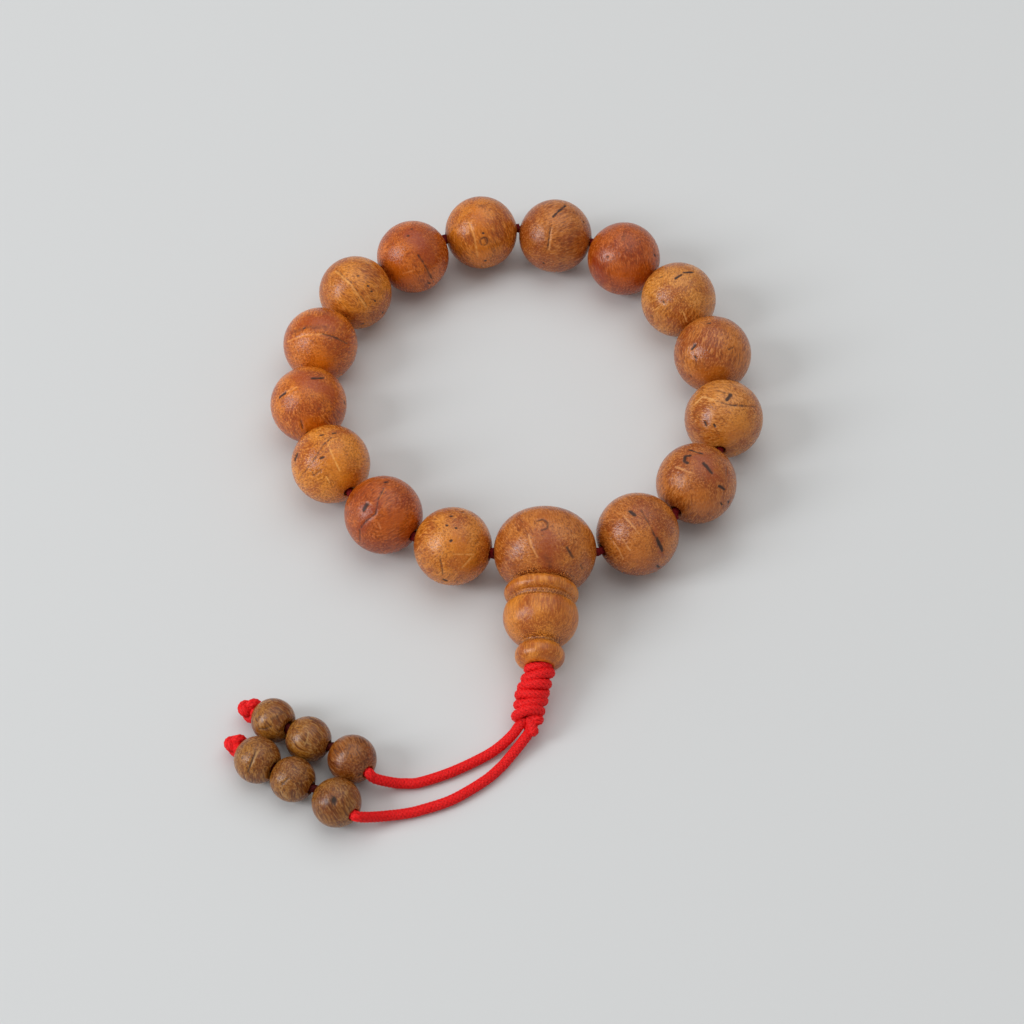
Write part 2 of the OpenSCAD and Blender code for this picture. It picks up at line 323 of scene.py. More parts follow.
def wood(name, tone, flecks, pores, fibre, streaks, gloss):
    """Polished wood, whose grain runs along Z of the grain attribute, which is in millimetres. Fibre is how
    fine the fibres are each way, gloss is the least roughness, and the rest are strengths from 0 to 1."""
    light = scaled(tone, (1.28, 1.36, 1.3))
    deep = scaled(tone, (0.76, 0.52, 0.34))
    dark = scaled(tone, (0.42, 0.3, 0.25))
    fleck = scaled(tone, (1.5, 1.85, 2), 0.03)
    s = Shader(name)
    grain = s.attribute("grain", "Vector")
    rough_grain = s.attribute("rough_grain")
    drift = s.vector("SUBTRACT", s.noise(grain, 0.22, 2, output="Color"), (0.5, 0.5, 0.5))
    flow = s.vector("ADD", grain, s.vector("MULTIPLY", drift, (1.7, 1.7, 1.7)))
    threads = s.noise(s.vector("MULTIPLY", flow, fibre), 1, 3, 0.6)
    hairs = s.noise(s.vector("MULTIPLY", flow, tuple(f * 1.7 for f in fibre)), 1, 2, 0.6)
    specks = s.noise(grain, 3.6, 2, 0.7)
    grit = s.noise(grain, 5.5, 2, 0.7)
    clouds = s.noise(s.vector("MULTIPLY", flow, (0.3, 0.3, 0.15)), 1, 4, 0.55)
    bands = s.noise(s.vector("MULTIPLY", flow, (1.3, 1.3, 0.22)), 1, 3, 0.55)
    worn = s.ramp(s.noise(grain, 0.33, 2), 0.38, 0.62, 0.45, 1)
    bright = s.math("MULTIPLY", s.ramp(threads, 0.52, 0.64), worn)
    colour = s.mix(s.ramp(clouds, 0.36, 0.64), deep, light)
    colour = s.mix(s.math("MULTIPLY", s.ramp(bands, 0.54, 0.7), streaks), colour, dark)
    colour = s.mix(s.math("MULTIPLY", s.ramp(threads, 0.47, 0.36), pores), colour, dark)
    colour = s.mix(s.math("MULTIPLY", bright, flecks), colour, fleck)
    colour = s.mix(s.math("MULTIPLY", s.ramp(hairs, 0.54, 0.66), flecks * 0.7), colour, fleck)
    colour = s.mix(s.math("MULTIPLY", s.ramp(hairs, 0.45, 0.34), pores * 0.8), colour, dark)
    colour = s.mix(s.math("MULTIPLY", s.ramp(specks, 0.45, 0.34), pores * 0.7), colour, dark)
    torn = s.math("MULTIPLY", s.ramp(grit, 0.53, 0.42), rough_grain)
    lifted = s.math("MULTIPLY", s.ramp(grit, 0.54, 0.62), rough_grain)
    colour = s.mix(torn, colour, scaled(tone, (0.34, 0.24, 0.2)))
    colour = s.mix(lifted, colour, scaled(fleck, (1.2, 1.2, 1.2)))
    pale = s.ramp(s.attribute("pale"), 0.1, 0.75, 0, 0.9)
    # The stain attribute holds the dark marks in the wood, and on the stupa also painted shade in its grooves
    stain = s.ramp(s.attribute("stain"), 0.1, 0.6)
    flush = s.attribute("flush")
    colour = s.mix(s.ramp(flush, 0.05, 0.8, 0, 0.75), colour, scaled(tone, (0.72, 0.42, 0.4)))
    glow = s.ramp(s.math("MULTIPLY", flush, -1.0), 0.05, 0.9, 0, 0.6)
    colour = s.mix(glow, colour, scaled(tone, (1.3, 1.25, 0.7)))
    colour = s.mix(pale, colour, scaled(fleck, (1.05, 1.2, 1.6)))
    colour = s.mix(stain, colour, scaled(tone, (0.1, 0.08, 0.1), 0.002))
    rough = s.math("ADD", s.ramp(bright, 0, 1, gloss, gloss + 0.14), s.math("MULTIPLY", stain, 0.3))
    s.set(Base_Color=colour, Roughness=rough, Specular_IOR_Level=0.45)
    height = s.math("ADD", s.math("MULTIPLY", threads, 0.7), s.math("MULTIPLY", hairs, 0.5))
    s.bump(height, 0.00012, 0.7)
    return s.material


def braid_thread(name, bright, deep):
    """Braided thread, with painted shade in its deep colour down between strands and painted highlights in its
    pale pink flecks. The crown attribute is 1 on top of a strand and 0 down between strands, and the shade
    attribute is 1 where beads hold the cord in the dark."""
    s = Shader(name)
    along = s.attribute("lay", "Vector")
    crown = s.attribute("crown")
    fuzz = s.noise(s.vector("MULTIPLY", along, (2.2, 5, 1)), 1, 2)
    # Painted shade: the deep colour fills the hollows down between strands
    colour = s.mix(s.ramp(crown, 0.05, 0.6), deep, bright)
    # Painted highlights: pale pink flecks on the strands
    colour = s.mix(s.ramp(fuzz, 0.52, 0.62, 0, 0.5), colour, scaled(bright, (1.1, 6, 5), 0.01))
    colour = s.mix(s.ramp(fuzz, 0.47, 0.38, 0, 0.65), colour, deep)
    colour = s.mix(s.ramp(s.attribute("shade"), 0, 1, 0, 0.93), colour, scaled(deep, (0.04, 0.1, 0.1)))
    s.set(Base_Color=colour, Roughness=0.6, Specular_IOR_Level=0.15)
    s.bump(fuzz, 0.00005, 0.6)
    return s.material


# The middle tone of each kind of wood, and the pieces that are of it
WOODS = {
    "brown": (0.41, 0.115, 0.015),
    "chestnut": (0.43, 0.12, 0.014),
    "tan": (0.48, 0.155, 0.022),
    "straw": (0.52, 0.175, 0.025),
    "rosewood": (0.4, 0.075, 0.003),
    "red_brown": (0.475, 0.1, 0.005),
    "russet": (0.535, 0.13, 0.006),
    "copper": (0.51, 0.14, 0.01),
    "golden": (0.53, 0.16, 0.015),
    "honey": (0.58, 0.175, 0.013),
    "dark_red": (0.24, 0.067, 0.006),
    "dark_brown": (0.245, 0.083, 0.009),
    "dark_tan": (0.27, 0.093, 0.01),
}
MADE_OF = {
    "brown": ["bead_01", "bead_02", "bead_07"],
    "chestnut": ["bead_04", "guru_bead"],
    "tan": ["bead_03"],
    "straw": ["bead_05"],
    "rosewood": ["bead_06", "bead_14"],
    "red_brown": ["bead_09"],
    "russet": ["bead_11", "bead_12"],
    "copper": ["bead_08"],
    "golden": ["bead_10", "bead_15", "stupa"],
    "honey": ["bead_13"],
    "dark_red": ["upper_counter_1"],
    "dark_brown": ["lower_counter_1", "lower_counter_2"],
    "dark_tan": ["upper_counter_2", "upper_counter_3", "lower_counter_3"],
}
TONES = {node: WOODS[kind] for kind, nodes in MADE_OF.items() for node in nodes}
BEAD_GRAIN = {"flecks": 0.75, "pores": 0.7, "fibre": (3.4, 3.4, 0.9), "streaks": 0.4, "gloss": 0.23}
COUNTER_GRAIN = {"flecks": 0.95, "pores": 0.95, "fibre": (3.3, 3.3, 0.3), "streaks": 0.8, "gloss": 0.27}
STUPA_GRAIN = {"flecks": 0.5, "pores": 0.45, "fibre": (3.4, 3.4, 0.35), "streaks": 0.25, "gloss": 0.28}
red_thread = braid_thread("red_thread", (0.85, 0.008, 0.009), (0.38, 0.0, 0.002))
shaded_thread = braid_thread("shaded_thread", (0.16, 0.001, 0.002), (0.03, 0.0, 0.0005))


# ---------------------------------------------------------------- marks in the wood

def ring(across, up, radius):
    """The path of a round mark."""
    return [(across + x, up + y) for x, y in arc((0, 0), radius, 0, 360, 9)]


# Knots and cracks (dark), old scratches (crease, pale), soot (smoke), and redder and brighter patches (flush,
# glow) of each piece. Each has its width in millimetres, and its path in bead radii, across and up from the
# middle of the bead as the camera sees it.
MARKS = {
    "bead_01": [
        ("glow", 3.5, [(0.1, -0.5), (0.2, -0.6)]),
        ("flush", 1.5, [(0.4, 0.1), (0.6, -0.5)]),
        ("dark", 0.42, [(-0.22, 0.52), (-0.09, 0.44)]),
        ("crease", 0.24, [(0.04, 0.58), (0.32, 0.15), (0.55, -0.3)]),
        ("dark", 0.4, [(0.48, -0.07), (0.61, -0.36)]),
        ("dark", 0.3, [(0.52, -0.72), (0.57, -0.76)]),
        ("pale", 0.26, [(-0.35, 0.4), (0.04, 0)]),
        ("pale", 0.2, [(-0.62, -0.15), (-0.42, -0.4), (-0.3, -0.62)]),
        ("pale", 0.2, [(-0.35, -0.15), (-0.15, -0.4)]),
    ],
    "bead_02": [
        ("flush", 3, [(0.1, 0.6), (0.4, 0.2)]),
        ("glow", 3.5, [(0.2, -0.3), (0.3, -0.5)]),
        ("dark", 0.36, [(-0.22, 0.67), (-0.34, 0.64), (-0.36, 0.51), (-0.27, 0.48)]),
        ("dark", 0.42, [(0.13, 0.51), (0.35, 0.3)]),
        ("dark", 0.34, [(0.57, 0), (0.71, -0.07)]),
        ("dark", 0.24, [(-0.26, 0.8), (0.07, 0.74)]),
        ("crease", 0.26, [(0.7, 0.47), (0.71, 0.32)]),
        ("dark", 0.26, [(0.83, -0.35), (0.85, -0.39)]),
        ("dark", 0.28, [(0.65, -0.41), (0.69, -0.45)]),
        ("pale", 0.26, [(-0.55, 0.35), (-0.16, 0.25)]),
    ],
    "bead_03": [
        ("glow", 3, [(0.2, -0.4), (0.5, -0.2)]),
        ("dark", 0.55, [(0.04, 0.5), (0.07, 0.56), (0.1, 0.63)]),
        ("crease", 0.24, [(-0.23, 0.7), (-0.03, 0.65)]),
        ("pale", 0.26, [(-0.76, 0.3), (-0.59, 0.5), (-0.23, 0.43)]),
        ("crease", 0.28, [(-0.23, 0.43), (0.14, 0.36), (0.77, 0.4)]),
        ("dark", 0.26, [(-0.46, -0.14), (-0.41, -0.21)]),
        ("dark", 0.26, [(-0.22, -0.17), (-0.18, -0.22)]),
    ],
    "bead_04": [
        ("glow", 3, [(-0.2, -0.6), (0.3, -0.5)]),
        ("dark", 0.34, [(-0.54, 0.08), (-0.47, 0.18)]),
        ("dark", 0.26, [(-0.44, -0.1), (-0.41, -0.14)]),
        ("dark", 0.28, [(-0.19, 0.79), (-0.15, 0.8)]),
        ("dark", 0.26, [(-0.51, -0.61), (-0.48, -0.63)]),
        ("crease", 0.22, [(0.4, 0.17), (0.5, 0.22)]),
    ],
    "bead_05": [
        ("dark", 0.3, [(-0.13, 0.56), (0.01, 0.66)]),
        ("dark", 0.3, [(0.08, 0.73), (0.32, 0.76)]),
        ("dark", 0.28, [(-0.52, 0.56), (-0.49, 0.57)]),
        ("crease", 0.3, [(-0.4, -0.09), (-0.37, -0.12)]),
        ("crease", 0.3, [(-0.67, -0.49), (-0.65, -0.52)]),
        ("pale", 0.2, [(0.16, -0.32), (0.26, -0.56)]),
    ],
    "bead_06": [
        ("glow", 3, [(-0.1, -0.5), (0.3, -0.4)]),
        ("flush", 1.6, [(-0.8, -0.1), (-0.5, -0.6)]),
        ("crease", 0.34, [(-0.48, 0.02), (-0.43, 0.03)]),
        ("dark", 0.26, [(0.84, 0.15), (0.86, 0.13)]),
        ("smoke", 0.7, [(0, 0.75), (-0.05, 0.5)]),
    ],
    "bead_07": [
        ("dark", 0.32, [(0.26, 0.83), (0.1, 0.7), (-0.07, 0.53)]),
        ("crease", 0.24, [(-0.14, 0.24), (-0.21, -0.41)]),
        ("dark", 0.26, [(-0.31, -0.74), (-0.29, -0.76)]),
        ("dark", 0.26, [(0.75, 0.42), (0.77, 0.4)]),
        ("pale", 0.2, [(-0.1, 0.24), (-0.16, -0.38)]),
    ],
    "bead_08": [
        ("glow", 2.2, [(-0.1, 0.6), (0.02, 0), (0, -0.75)]),
        ("smoke", 0.7, [(-0.05, 0.73), (0.1, 0.73)]),
        ("pale", 0.26, [(-0.33, 0.26), (-0.19, -0.1), (-0.11, -0.65)]),
        ("dark", 0.26, [(0.09, -0.79), (0.12, -0.78)]),
        ("dark", 0.3, [(0.04, -0.02), (0.06, -0.02)]),
        ("crease", 0.3, ring(0.07, -0.25, 0.11)),
        ("flush", 0.9, [(0.07, -0.25), (0.07, -0.25)]),
        ("flush", 0.8, [(0.0, 0.73), (0.08, 0.73)]),
    ],
    "bead_09": [
        ("glow", 3.5, [(-0.45, -0.4), (-0.2, -0.6)]),
        ("flush", 2.5, [(0, 0.7), (0.45, -0.1)]),
        ("dark", 0.28, [(-0.01, 0.77), (0.02, 0.77)]),
        ("dark", 0.28, [(-0.12, 0.58), (-0.09, 0.58)]),
        ("crease", 0.3, [(0.14, 0.04), (0.32, -0.25), (0.5, -0.65)]),
        ("pale", 0.2, [(-0.29, -0.45), (-0.01, -0.38)]),
        ("dark", 0.26, [(0.37, -0.75), (0.44, -0.77)]),
    ],
    "bead_10": [
        ("pale", 0.28, [(-0.5, 0.63), (-0.11, 0.24), (0.25, -0.41)]),
        ("crease", 0.2, [(-0.46, 0.65), (-0.07, 0.26), (0.29, -0.39)]),
        ("dark", 0.26, [(0.1, 0.45), (0.13, 0.45)]),
        ("dark", 0.26, [(0.42, 0), (0.45, 0)]),
        ("dark", 0.24, [(0.34, 0.16), (0.36, 0.15)]),
        ("dark", 0.26, [(0.5, -0.25), (0.52, -0.28)]),
        ("dark", 0.26, [(0.69, -0.6), (0.71, -0.61)]),
        ("dark", 0.28, [(0.1, -0.87), (0.14, -0.87)]),
    ],
    "bead_11": [
        ("glow", 3.2, [(0.05, -0.35), (0.15, -0.6)]),
        ("flush", 2.4, [(-0.4, 0.65), (0.4, 0.6)]),
        ("smoke", 0.9, [(-0.7, 0.4), (-0.3, 0.5), (0.2, 0.45)]),
        ("pale", 0.26, [(-0.86, 0.17), (-0.41, 0.29), (0.09, 0.28)]),
        ("crease", 0.3, [(0.09, 0.28), (0.4, 0.16), (0.72, -0.04)]),
        ("dark", 0.28, [(-0.4, 0.48), (-0.37, 0.48)]),
    ],
    "bead_12": [
        ("glow", 2.4, [(-0.1, -0.5), (0.2, -0.7)]),
        ("flush", 2.4, [(-0.2, 0.75), (0.6, 0.3)]),
        ("dark", 0.34, [(-0.74, 0.27), (-0.57, 0.37)]),
        ("pale", 0.24, [(-0.57, 0.37), (-0.26, 0.48)]),
        ("dark", 0.32, [(0.16, 0.67), (0.47, 0.65)]),
        ("crease", 0.3, [(-0.25, -0.4), (-0.22, -0.6)]),
        ("dark", 0.3, [(0.94, -0.02), (0.95, -0.09)]),
        ("pale", 0.2, [(0.3, -0.3), (0.5, -0.6)]),
    ],
    "bead_13": [
        ("glow", 2.6, [(0.1, 0.1), (0.3, -0.4)]),
        ("dark", 0.26, [(-0.19, 0.75), (-0.12, 0.76)]),
        ("dark", 0.3, [(0.13, 0.77), (0.2, 0.77)]),
        ("dark", 0.55, [(-0.88, 0.22), (-0.82, 0.33)]),
        ("dark", 0.26, [(-0.24, 0.17), (-0.16, 0.19)]),
        ("crease", 0.26, [(-0.84, -0.3), (-0.45, 0.1), (-0.12, 0.52), (0.1, 0.68)]),
        ("crease", 0.18, [(-0.48, -0.14), (-0.46, -0.24), (-0.24, -0.12)]),
        ("pale", 0.22, [(-0.02, 0.5), (0.1, 0.1), (0.2, -0.18)]),
        ("pale", 0.2, [(-0.15, -0.3), (-0.08, -0.46)]),
    ],
    "bead_14": [
        ("glow", 3, [(0.1, -0.2), (0.3, -0.1)]),
        ("flush", 1.4, [(-0.55, -0.3), (-0.1, 0.3)]),
        ("dark", 0.32, [(0.11, 0.82), (0.17, 0.83)]),
        ("dark", 0.4, [(-0.5, 0.13), (-0.4, 0.3), (-0.37, 0.29)]),
        ("crease", 0.26, [(-0.66, -0.7), (-0.62, -0.3), (-0.42, -0.1), (-0.2, 0.02),
                          (-0.1, 0.4), (0.06, 0.66)]),
        ("pale", 0.2, [(-0.07, 0.42), (0.08, 0.66)]),
        ("pale", 0.26, [(-0.14, -0.19), (-0.1, -0.34)]),
    ],
    "bead_15": [
        ("glow", 2.6, [(0.1, 0.2), (0.3, -0.5)]),
        ("dark", 0.26, [(-0.04, 0.76), (0, 0.76)]),
        ("dark", 0.24, [(0.25, 0.86), (0.29, 0.86)]),
        ("dark", 0.24, [(-0.14, 0.53), (-0.12, 0.53)]),
        ("dark", 0.24, [(0.08, 0.46), (0.11, 0.46)]),
        ("dark", 0.28, [(-0.06, 0.13), (-0.03, 0.15)]),
        ("crease", 0.22, [(0.56, 0.06), (0.63, 0.09)]),
        ("crease", 0.24, [(-0.34, -0.25), (-0.28, -0.7)]),
        ("dark", 0.34, [(-0.27, -0.83), (-0.2, -0.87)]),
        ("pale", 0.22, [(0.2, -0.55), (0.44, -0.3)]),
        ("pale", 0.18, [(0, -0.2), (0.5, -0.22)]),
    ],
    "guru_bead": [
        ("crease", 0.3, [(-0.19, 0.65), (-0.06, 0.7), (0.05, 0.63), (0.04, 0.5), (-0.08, 0.45)]),
        ("crease", 0.26, [(-0.07, 0.34), (-0.05, 0.34)]),
        ("pale", 0.22, [(-0.35, 0.34), (-0.3, 0.12), (-0.16, -0.13)]),
        ("crease", 0.42, [(0.46, 0.09), (0.57, -0.11)]),
        ("crease", 0.3, [(0.73, -0.28), (0.77, -0.34)]),
        ("flush", 2.9, [(-0.02, 0.4), (0.04, 0.1), (0.08, -0.3)]),
        ("glow", 3, [(-0.1, 0.85), (0.1, 0.75)]),
        ("smoke", 1.2, [(0.04, -0.12), (0.12, -0.32)]),
    ],
    "upper_counter_1": [
        ("crease", 0.26, [(0.17, -0.7), (0.57, -0.5)]),
        ("smoke", 0.5, [(-0.1, 0.6), (-0.2, 0.1)]),
    ],
    "upper_counter_2": [
        ("pale", 0.2, [(0.05, 0.3), (-0.08, -0.07), (-0.23, -0.24)]),
        ("pale", 0.2, [(-0.08, -0.16), (0.09, -0.24)]),
    ],
    "upper_counter_3": [
        ("crease", 0.26, [(-0.7, -0.24), (-0.43, -0.3), (-0.15, -0.24)]),
        ("smoke", 0.45, [(-0.06, 0.06), (0.39, 0.24), (0.75, 0.33)]),
        ("crease", 0.24, [(0.2, -0.53), (0.66, -0.35)]),
    ],
    "lower_counter_1": [
        ("dark", 0.6, [(-0.08, 0.15), (-0.09, 0.08)]),
        ("smoke", 0.9, [(-0.16, 0.17), (-0.17, 0.03)]),
        ("crease", 0.26, [(-0.02, 0.03), (-0.08, -0.08)]),
    ],
    "lower_counter_2": [
        ("crease", 0.24, [(-0.52, -0.16), (-0.35, -0.03), (-0.16, 0.08)]),
        ("pale", 0.2, [(-0.6, -0.39), (-0.52, -0.64), (-0.35, -0.77)]),
    ],
    "lower_counter_3": [
        ("crease", 0.28, [(0.02, 0.45), (-0.32, -0.14), (-0.49, -0.44)]),
        ("pale", 0.22, [(0.08, 0.35), (-0.28, -0.2)]),
        ("pale", 0.24, [(0.73, -0.14), (0.5, -0.4)]),
    ],
}
# How deep a mark is sunk in millimetres, and how dark its stain is
DEPTH = {"dark": 0.1, "pale": 0.05, "crease": 0.08}
DARKNESS = {"dark": 1.0, "crease": 0.63, "smoke": 0.4}


def seen_from_camera(centre):
    """Across, up and towards the camera, as seen from it, at a place in the model."""
    towards = unit(np.array(camera.location) / MM - centre)
    across = unit(np.cross((0, 0, 1), towards))
    return np.stack([across, np.cross(towards, across), towards])


def mark_strength(directions, radius, path, width, basis):
    """How strongly a mark shows at each direction from the middle of a bead, from 0 to 1."""
    path = np.array(path, float)
    at = np.linspace(0, len(path) - 1, len(path) * 12)
    flat = np.stack([np.interp(at, range(len(path)), path[:, k]) for k in (0, 1)], 1)
    depth = np.sqrt(np.clip(1 - (flat ** 2).sum(1), 0, 1))
    line = unit(flat[:, :1] * basis[0] + flat[:, 1:] * basis[1] + depth[:, None] * basis[2])
    nearest = (directions @ line.T).max(1)
    away = radius * np.arccos(np.clip(nearest, -1, 1))
    return np.exp(-2 * (away / width) ** 2)


def marked(node, points, directions, radius, basis, seed):
    """Stain, paleness, redness (under 0 is brighter) and depth that a piece's marks give its points."""
    stain, pale, flush, sunk = (np.zeros(len(points)) for _ in range(4))
    wear = 0.74 + 0.26 * value_noise(points * 3.5, seed)
    ragged = 1 + 0.4 * value_noise(points * 2.1, seed + 3)
    for kind, width, path in MARKS.get(node, []):
        strength = mark_strength(directions, radius, path, width * ragged, basis)
        sunk += DEPTH.get(kind, 0) * strength
        if kind == "pale":
            pale = np.maximum(pale, strength * wear * 0.9)
        elif kind in ("flush", "glow"):
            flush += strength * wear * (1 if kind == "flush" else -1)
        else:
            stain = np.maximum(stain, strength * wear * DARKNESS[kind])
    return stain, pale, flush, sunk


# ---------------------------------------------------------------- wooden pieces

def cad_points(node):
    mesh = frame["nodes"][node].data
    points = np.empty(len(mesh.vertices) * 3, np.float32)
    mesh.vertices.foreach_get("co", points)
    return points.reshape(-1, 3).astype(float) / MM


def turned_sizes(node, centre, axis):
    """Diameter of a bored CAD piece and its length along the hole, in millimetres."""
    offset = cad_points(node) - centre
    along = offset @ axis
    across = np.linalg.norm(offset - along[:, None] * axis, axis=1)
    return 2 * across.max(), along.max() - along.min()


def round_half(d, half_length):
    """The outline of half a bead from its middle to the mouth of its hole."""
    rise = d / 2 - MOUTH_R
    radius = (half_length ** 2 + rise * rise) / (2 * rise)
    reach = math.asin(min(1, half_length / radius))
    turn = reach if d / 2 - radius < MOUTH_R else math.pi - reach
    return arc((d / 2 - radius, 0), radius, 0, math.degrees(turn), 100)


def pressed_half(d, half_length):
    """Half of a ball that is flat where its neighbour presses on it, with a small bevel round the flat."""
    bevel = 0.08
    flat_r = math.sqrt(d * d / 4 - half_length ** 2) - bevel
    ball = arc((0, 0), d / 2, 0, math.degrees(math.asin((half_length - bevel) / (d / 2))), 100)
    return ball + [(flat_r, half_length), (MOUTH_R, half_length)]


def barrel_half(d, half_length, fullness=2.1):
    """Half of a barrel that is a little fuller than an ellipse."""
    reach = half_length / (1 - (2 * MOUTH_R / d) ** fullness) ** (1 / fullness)
    rise = np.sin(np.linspace(0, 1, 100) * math.asin(half_length / reach))
    radii = d / 2 * (1 - rise ** fullness) ** (1 / fullness)
    return list(zip(radii.tolist(), (reach * rise).tolist()))


def bored_outline(halves, d, back, front):
    """Both halves of a bead, a small round lip at each mouth, and the wall of the hole."""
    lips = [arc((MOUTH_R, end - MOUTH_LIP), MOUTH_LIP, 90, 180, 5)[1:] for end in (back, front)]
    mirrored = [[(r, -z) for r, z in points] for points in (halves[0](d, back)[::-1], lips[0][::-1])]
    return mirrored[0][:-1] + halves[1](d, front) + lips[1] + mirrored[1]


def wooden_piece(node, body, slot, grid, texture, **attributes):
    piece = grid_object(node + "_wood", grid, True, True, **attributes)
    piece.data.materials.append(wood(node + "_wood", TONES[node], **texture))
    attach(piece, body)
    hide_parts(node)


def wooden_bead(node, centre, axis, halves, ends, grain_turn, seed, texture=BEAD_GRAIN, fringe=None):
    """A bored bead. Halves are its two outlines, and ends are how far its two mouths lie from its middle:
    first against the axis, and then along it."""
    d = turned_sizes(node, centre, axis)[0]
    outline = even_outline(bored_outline(halves, d, *ends), BEAD_STEP)
    grid = turned_grid(outline, int(round(math.pi * d / BEAD_STEP)))
    normals = grid_normals(grid)
    points = grid.reshape(-1, 3)
    basis = frame_on(axis)
    outer = np.clip((np.hypot(points[:, 0], points[:, 1]) - MOUTH_R + MOUTH_LIP) / 0.4, 0, 1)
    turned = Matrix.Rotation(grain_turn[0], 3, "X") @ Matrix.Rotation(grain_turn[1], 3, "Y")
    grain = points @ np.array(turned).T
    facing = unit(points @ basis.T)
    stain, pale, flush, sunk = marked(node, points, facing, d / 2, seen_from_camera(centre), seed + 9)
    torn = fringe(facing, points) if fringe else np.zeros(len(points))
    sag = SAG * (value_noise(points / 4.5 + seed * 17.3, seed) - 1)
    ripple = RIPPLE * value_noise(grain * (2.2, 2.2, 0.5), seed + 5)
    lift = (sag + ripple - sunk) * outer
    placed = (grid + normals * lift.reshape(grid.shape[:2])[..., None]) @ basis.T + centre
    placed[..., 2] = np.maximum(placed[..., 2], 0.0)
    wooden_piece(
        node, body_with(node), BEAD_SLOTS[node], placed, texture,
        grain=grain + seed * 37.0, stain=stain * outer, pale=pale * outer, flush=flush,
        rough_grain=torn * outer,
    )


def full_half(node, centre, axis):
    """Half of the length of a bead that is round up to the mouths of its hole."""
    d = turned_sizes(node, centre, axis)[0]
    return math.sqrt(d * d / 4 - MOUTH_R ** 2)


def body_with(node):
    bodies = frame["record"]["behaviour"]["bodies"]
    return next(name for name, nodes in bodies.items() if node in nodes)


def spin_frame(node):
    joint = joints[node + "_spin"]
    return np.array(joint["pos_m"]) / MM, unit(joint["axis"])


BEAD_SLOTS = {row["node"]: row["material_slot"] for row in frame["record"]["subparts"]}
MAIN_BEADS = [f"bead_{i:02d}" for i in range(1, 16)]
for i, node in enumerate(MAIN_BEADS, 1):
    centre, axis = spin_frame(node)
    ends = [full_half(node, centre, axis)] * 2
    wooden_bead(node, centre, axis, [round_half] * 2, ends, (0.9 * i, 1.7 * i), i)

stupa_at, stupa_axis = spin_frame("stupa")
guru_low, guru_high = (np.array(corner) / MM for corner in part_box("guru_bead"))
guru_centre = np.array([(guru_low[0] + guru_high[0]) / 2, 0, guru_high[2] / 2])
guru_centre[1] = stupa_at[1] - stupa_axis[1] * (stupa_at[2] - guru_centre[2]) / stupa_axis[2]
stupa_from = guru_centre - (STUPA_ASIDE, 0, 0)
stupa_side = unit(np.cross((0, 0, 1), stupa_axis))


def in_stupa(hand, along):
    return stupa_from + stupa_axis * along + stupa_side * hand * (CORD_D + STRAND_GAP) / 2


def collar_fringe(facing, points):
    """Rough end grain on the guru bead, strongest where the collar sits against it."""
    lean = facing @ stupa_axis
    patchy = 0.6 + 0.4 * value_noise(points * 1.2, 77)
    return np.clip((lean - 0.69) / 0.05, 0, 1) * 0.85 + np.clip((lean - 0.2) / 0.5, 0, 1) * 0.3 * patchy


def stupa_outline():
    """Seat, collar, groove, round body, neck and foot ring, and then the hole."""
    points = arc((0, 0), SEAT_R, 75.5, 54, 8)
    points += arc((COLLAR_R - COLLAR_HALF, COLLAR_AT), COLLAR_HALF, -86, 77, 24)
    points += arc((GROOVE_R + GROOVE_HALF, GROOVE_AT), GROOVE_HALF, 230, 130, 7)
    points += [(BULB_R * c, BULB_AT + BULB_HALF * s) for c, s in arc((0, 0), 1, -18.6, 60, 60)]
    points += [(NECK_R, NECK_FROM), (NECK_R, NECK_TO)]
    points += arc((FOOT_R - FOOT_HALF, FOOT_AT), FOOT_HALF, -58, 84, 26)
    points += [(STUPA_HOLE_R + 0.05, FOOT_END - 0.08), (STUPA_HOLE_R, FOOT_END - 0.25), (STUPA_HOLE_R, 7.1)]
    return points


def stupa_piece():
    grid = turned_grid(even_outline(stupa_outline(), 0.15), 190)
    normals = grid_normals(grid)
    points = grid.reshape(-1, 3)
    height = points[:, 2]
    in_groove = np.exp(-((height - GROOVE_AT) / 0.6) ** 2) + np.exp(-((height - 15.4) / 0.5) ** 2)
    under_collar = np.clip((6.1 - height) / 0.4, 0, 1)
    fibres = value_noise(points * (2.4, 2.4, 0.35), 3)
    rough = value_noise(points * 3.6, 8)
    torn = in_groove + under_collar * 0.9 + 0.4 * np.clip((height - 12.5) / 2.5, 0, 1) * (height < 15.5)
    outer = np.clip((np.hypot(points[:, 0], points[:, 1]) - 1.9) / 0.4, 0, 1)
    lift = (0.012 * fibres + 0.06 * in_groove * rough) * outer
    # Painted shade: the stain darkens the groove and the neck, where shade falls in them
    painted_groove_shade = np.clip(in_groove * 0.3, 0, 0.3)
    lifted = grid + normals * lift.reshape(grid.shape[:2])[..., None]
    placed = lifted @ frame_on(stupa_axis).T + stupa_from
    placed[..., 2] = np.maximum(placed[..., 2], 0.0)
    wooden_piece(
        "stupa", "stupa", "stupa_wood", placed, STUPA_GRAIN,
        grain=points + 900.0, stain=painted_groove_shade * outer, rough_grain=np.clip(torn, 0, 0.85) * outer,
    )


wooden_bead(
    "guru_bead", guru_centre, np.array([1.0, 0, 0]), [barrel_half] * 2,
    [(guru_high[0] - guru_low[0]) / 2] * 2, (0.4, 1.2), 31, fringe=collar_fringe,
)
stupa_piece()
COUNTERS = {strand: [f"{strand}_counter_{i}" for i in (1, 2, 3)] for strand in ("upper", "lower")}
for i, node in enumerate(COUNTERS["upper"] + COUNTERS["lower"]):
    centre, axis = spin_frame(node)
    shared = turned_sizes(node, centre, axis)[1] / 2
    full = full_half(node, centre, axis)
    # The outer two counter beads of each tail are pressed together, and are flat where they meet.
    ends = {"1": (full, full), "2": (full, shared), "3": (shared, full)}[node[-1]]
    halves = [round_half if end == full else pressed_half for end in ends]
    wooden_bead(node, centre, axis, halves, ends, (0.3 * i, 0.2), 50 + i, COUNTER_GRAIN)


# ---------------------------------------------------------------- cords

